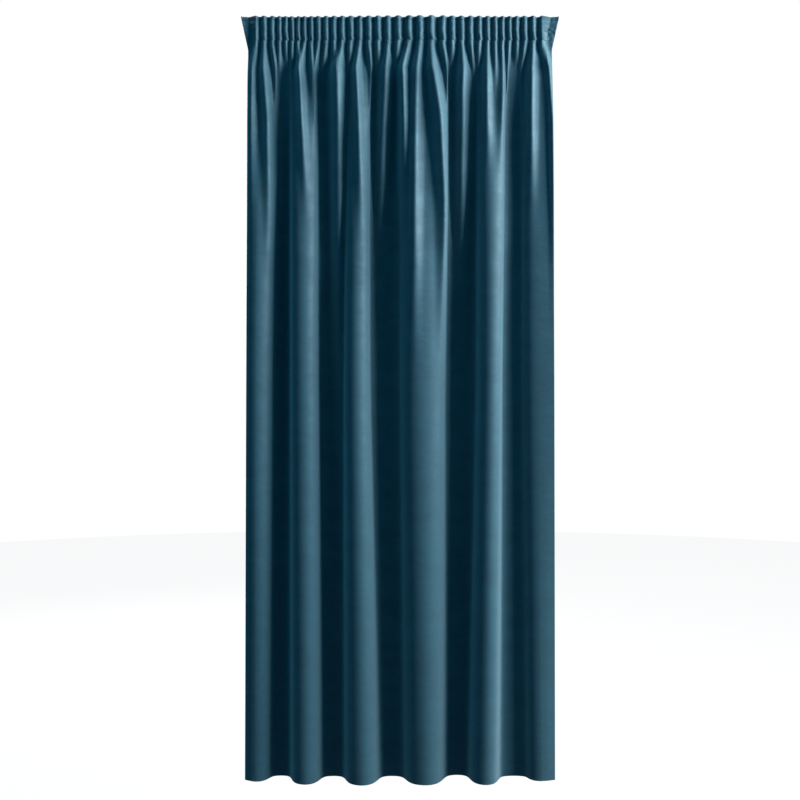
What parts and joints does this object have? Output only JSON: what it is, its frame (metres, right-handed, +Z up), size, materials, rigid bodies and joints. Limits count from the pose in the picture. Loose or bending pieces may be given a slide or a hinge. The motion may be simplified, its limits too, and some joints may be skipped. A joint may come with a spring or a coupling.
{
  "type": "curtain",
  "caption": "Floor-length velvet curtain hanging from its gathered pencil-pleat heading, the cloth opening into broad uneven vertical folds with a wavy hem.",
  "frame": {"origin": "middle of the top edge, where a rail holds the curtain", "axes": "+Z up, +X to the right as seen from the front, and the front faces -Y"},
  "size_m": [1.022, 0.1039, 2.45],
  "materials": {
    "velvet": "short soft velvet pile, dark petrol blue, matt with a pale sheen where it turns to the light",
    "tape_cloth": "matt woven gathering tape, off-white"
  },
  "bodies": {
    "root": {"curtain_cloth": "velvet", "heading_tape": "tape_cloth"}
  },
  "joints": []
}
